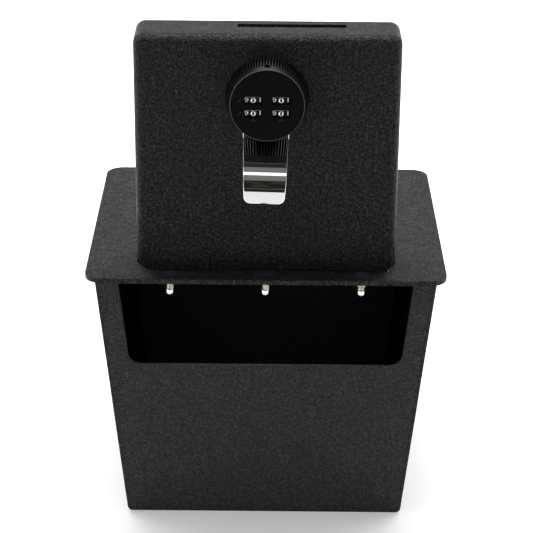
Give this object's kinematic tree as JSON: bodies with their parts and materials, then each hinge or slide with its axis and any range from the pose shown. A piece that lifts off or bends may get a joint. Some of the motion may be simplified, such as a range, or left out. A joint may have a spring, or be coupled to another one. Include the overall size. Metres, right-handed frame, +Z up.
{
  "type": "drop-in lock box",
  "caption": "Tapered steel lock box with a flange plate, hinged pan lid, four-wheel combination knob with cam, and a bent finger pull.",
  "frame": {"origin": "centre of the box's flat underside", "axes": "+X to the right and +Y away from the user, +Z up; the lid stands open at rest along the front edge"},
  "size_m": [0.195, 0.175, 0.2783],
  "materials": {
    "powder_coat": "black textured powder coat",
    "hinge_steel": "blackened steel, bare at the cut ends",
    "rivet_aluminium": "bright",
    "bright_steel": "zinc plated",
    "chrome": "mirror",
    "lock_zinc": "satin nickel on zinc casting",
    "knob_black": "satin",
    "face_black": "high gloss",
    "wheel_black": "black with white numerals",
    "brass": "plain"
  },
  "bodies": {
    "box": {"body_wrap": "powder_coat", "front_panel": "powder_coat", "rear_panel": "powder_coat", "top_plate": "powder_coat", "strike_angle": "powder_coat", "hinge_fixed_leaf": "hinge_steel", "hinge_pin": "hinge_steel", "hinge_rivets": "rivet_aluminium", "rivet_mandrels": "bright_steel"},
    "lid": {"lid_shell": "powder_coat", "hinge_lid_leaf": "hinge_steel", "lid_leaf_rivets": "hinge_steel", "pull_handle": "chrome", "lock_barrel": "lock_zinc", "lock_washer": "bright_steel", "lock_nut": "lock_zinc"},
    "knob": {"knob_skirt": "knob_black", "knob_face": "face_black", "lock_spindle": "lock_zinc", "dial_frame": "knob_black", "dial_axles": "bright_steel", "detent_springs": "bright_steel", "stop_washer": "bright_steel", "cam": "bright_steel", "cam_screw": "bright_steel"},
    "reset_pin": {"reset_plunger": "brass"},
    "dial_1": {"dial_wheel_1": "wheel_black"},
    "dial_2": {"dial_wheel_2": "wheel_black"},
    "dial_3": {"dial_wheel_3": "wheel_black"},
    "dial_4": {"dial_wheel_4": "wheel_black"}
  },
  "joints": [
    {"name": "lid_hinge", "type": "hinge", "parent": "box", "child": "lid", "pos_m": [0, -0.0681, 0.1448], "axis": [-1, 0, 0], "range_deg": [0, 90]},
    {"name": "lock_turn", "type": "hinge", "parent": "lid", "child": "knob", "pos_m": [0, -0.0704, 0.2455], "axis": [0, -1, 0], "range_deg": [0, 90]},
    {"name": "reset_push", "type": "slide", "parent": "knob", "child": "reset_pin", "axis": [0, 0, -1], "range_m": [0, 0.001], "stiffness_N_per_m": 200, "springref_m": -0.003},
    {"name": "dial_1_turn", "type": "hinge", "parent": "knob", "child": "dial_1", "pos_m": [-0.00715, -0.07915, 0.24835], "axis": [0, 0, 1], "continuous": true},
    {"name": "dial_2_turn", "type": "hinge", "parent": "knob", "child": "dial_2", "pos_m": [0.00715, -0.07915, 0.24835], "axis": [0, 0, 1], "continuous": true},
    {"name": "dial_3_turn", "type": "hinge", "parent": "knob", "child": "dial_3", "pos_m": [-0.00715, -0.07915, 0.24125], "axis": [0, 0, 1], "continuous": true},
    {"name": "dial_4_turn", "type": "hinge", "parent": "knob", "child": "dial_4", "pos_m": [0.00715, -0.07915, 0.24125], "axis": [0, 0, 1], "continuous": true}
  ]
}
